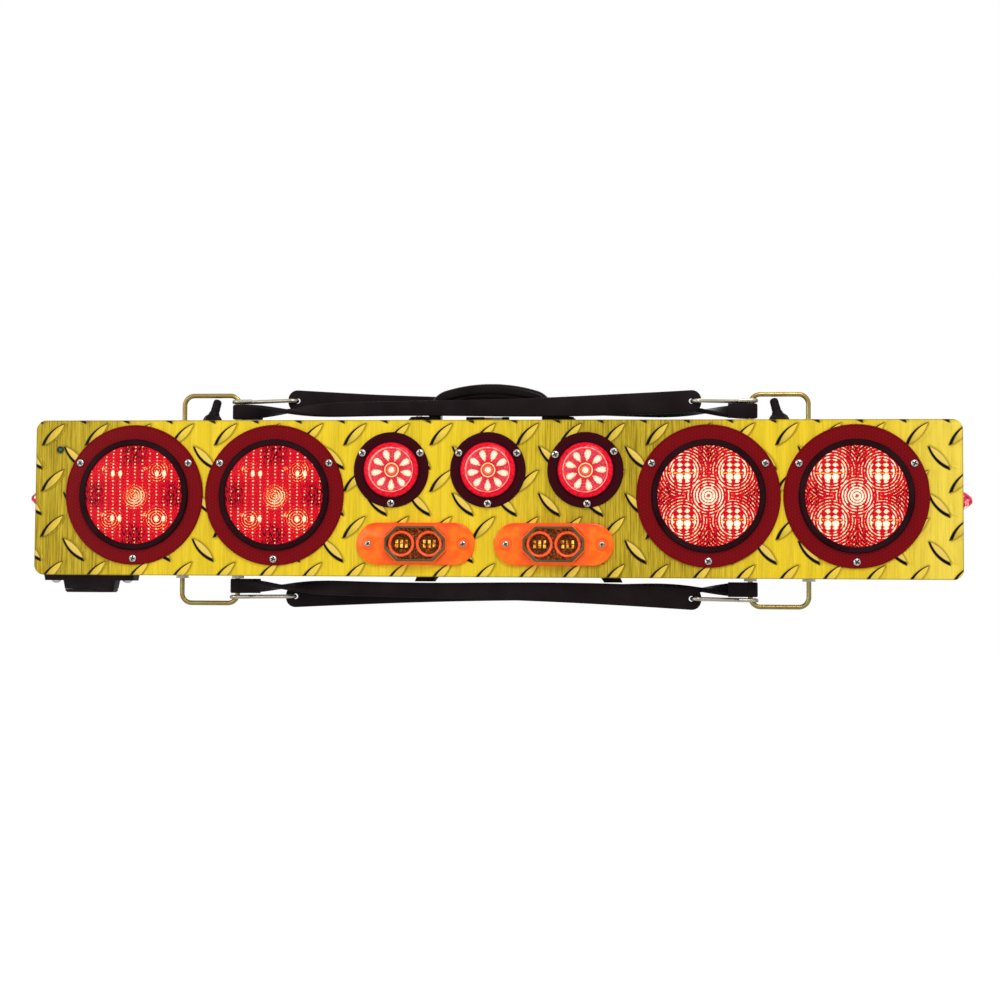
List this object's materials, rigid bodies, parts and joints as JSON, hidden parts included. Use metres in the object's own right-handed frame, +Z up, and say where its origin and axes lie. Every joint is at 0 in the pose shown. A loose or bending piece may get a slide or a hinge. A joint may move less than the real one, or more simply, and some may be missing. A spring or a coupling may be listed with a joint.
{
  "type": "wide load light bar",
  "caption": "Battery light bar for wide loads: red stop and marker lamps and amber strobes on a yellow tread-pattern plate, with rubber straps, wire hooks and a carry handle.",
  "frame": {"origin": "centre of the housing's flat back face", "axes": "+Y out of the back face, so the lamps face -Y; +X along the bar, to the right as seen from the front; +Z up"},
  "size_m": [0.942, 0.0634, 0.2243],
  "materials": {
    "housing_metal": "satin",
    "plate_metal": "satin",
    "printed_film": "gloss",
    "rivet_metal": "plain",
    "red_reflector": "retro-reflective",
    "dark_reflector": "gloss",
    "red_lens": "clear",
    "marker_red_lens": "clear",
    "amber_lens": "clear",
    "lamp_body": "satin",
    "marker_body": "gloss",
    "strobe_bezel": "gloss",
    "grommet_rubber": "satin",
    "screw_steel": "plated",
    "zinc_rod": "zinc plated",
    "nut_steel": "zinc plated",
    "strap_rubber": "satin",
    "hook_wire": "zinc plated",
    "handle_plastic": "gloss",
    "black_plastic": "gloss",
    "switch_plastic": "satin",
    "lever_metal": "polished",
    "boot_rubber": "satin",
    "socket_plastic": "satin",
    "pin_brass": "polished",
    "bumper_rubber": "matt",
    "side_lamp_red": "faceted",
    "pilot_green": "gloss",
    "battery_wrap": "gloss",
    "board_green": "satin",
    "wire_cover": "satin"
  },
  "bodies": {
    "housing": {"housing_pan": "housing_metal", "front_plate": "plate_metal", "face_film": "printed_film", "plate_rivets": "rivet_metal", "stop_lamp_1_flange": "red_reflector", "stop_lamp_2_flange": "red_reflector", "stop_lamp_3_flange": "red_reflector", "stop_lamp_4_flange": "red_reflector", "stop_lamp_1_lens": "red_lens", "stop_lamp_2_lens": "red_lens", "stop_lamp_3_lens": "red_lens", "stop_lamp_4_lens": "red_lens", "stop_lamp_1_body": "lamp_body", "stop_lamp_2_body": "lamp_body", "stop_lamp_3_body": "lamp_body", "stop_lamp_4_body": "lamp_body", "stop_lamp_grommets": "grommet_rubber", "marker_lamp_1_flange": "dark_reflector", "marker_lamp_2_flange": "dark_reflector", "marker_lamp_3_flange": "dark_reflector", "marker_lamp_1_lens": "marker_red_lens", "marker_lamp_2_lens": "marker_red_lens", "marker_lamp_3_lens": "marker_red_lens", "marker_lamp_1_body": "marker_body", "marker_lamp_2_body": "marker_body", "marker_lamp_3_body": "marker_body", "lamp_screws": "screw_steel", "strobe_left_lens": "amber_lens", "strobe_right_lens": "amber_lens", "strobe_left_module": "strobe_bezel", "strobe_right_module": "strobe_bezel", "strobe_screws": "screw_steel", "tie_loop_top_left": "zinc_rod", "tie_loop_top_right": "zinc_rod", "tie_loop_bottom_left": "zinc_rod", "tie_loop_bottom_right": "zinc_rod", "loop_nuts": "nut_steel", "strap_top_front": "strap_rubber", "strap_top_back": "strap_rubber", "strap_bottom_front": "strap_rubber", "strap_bottom_back": "strap_rubber", "strap_hooks": "hook_wire", "carry_handle": "handle_plastic", "dome_screws": "screw_steel", "fuse_holder": "black_plastic", "left_switch": "switch_plastic", "right_switch": "switch_plastic", "left_switch_boot": "boot_rubber", "right_switch_boot": "boot_rubber", "charge_socket": "socket_plastic", "socket_pins": "pin_brass", "bottom_bumpers": "bumper_rubber", "side_lamps": "side_lamp_red", "pilot_light": "pilot_green", "battery_pack": "battery_wrap", "control_board": "board_green", "wiring_loom": "wire_cover"},
    "left_lever": {"left_switch_lever": "lever_metal"},
    "right_lever": {"right_switch_lever": "lever_metal"},
    "lid": {"socket_lid": "socket_plastic"}
  },
  "joints": [
    {"name": "left_switch_throw", "type": "hinge", "parent": "housing", "child": "left_lever", "pos_m": [-0.285, -0.025, 0.079], "axis": [0, 1, 0], "range_deg": [-30, 0], "deforming": ["left_switch_boot"]},
    {"name": "right_switch_throw", "type": "hinge", "parent": "housing", "child": "right_lever", "pos_m": [0.285, -0.025, 0.079], "axis": [0, 1, 0], "range_deg": [0, 30], "deforming": ["right_switch_boot"]},
    {"name": "socket_lid_hinge", "type": "hinge", "parent": "housing", "child": "lid", "pos_m": [-0.407, -0.0121, -0.0932], "axis": [1, 0, 0], "range_deg": [0, 110], "stiffness_Nm_per_rad": 0.02, "springref_deg": -28.65}
  ]
}
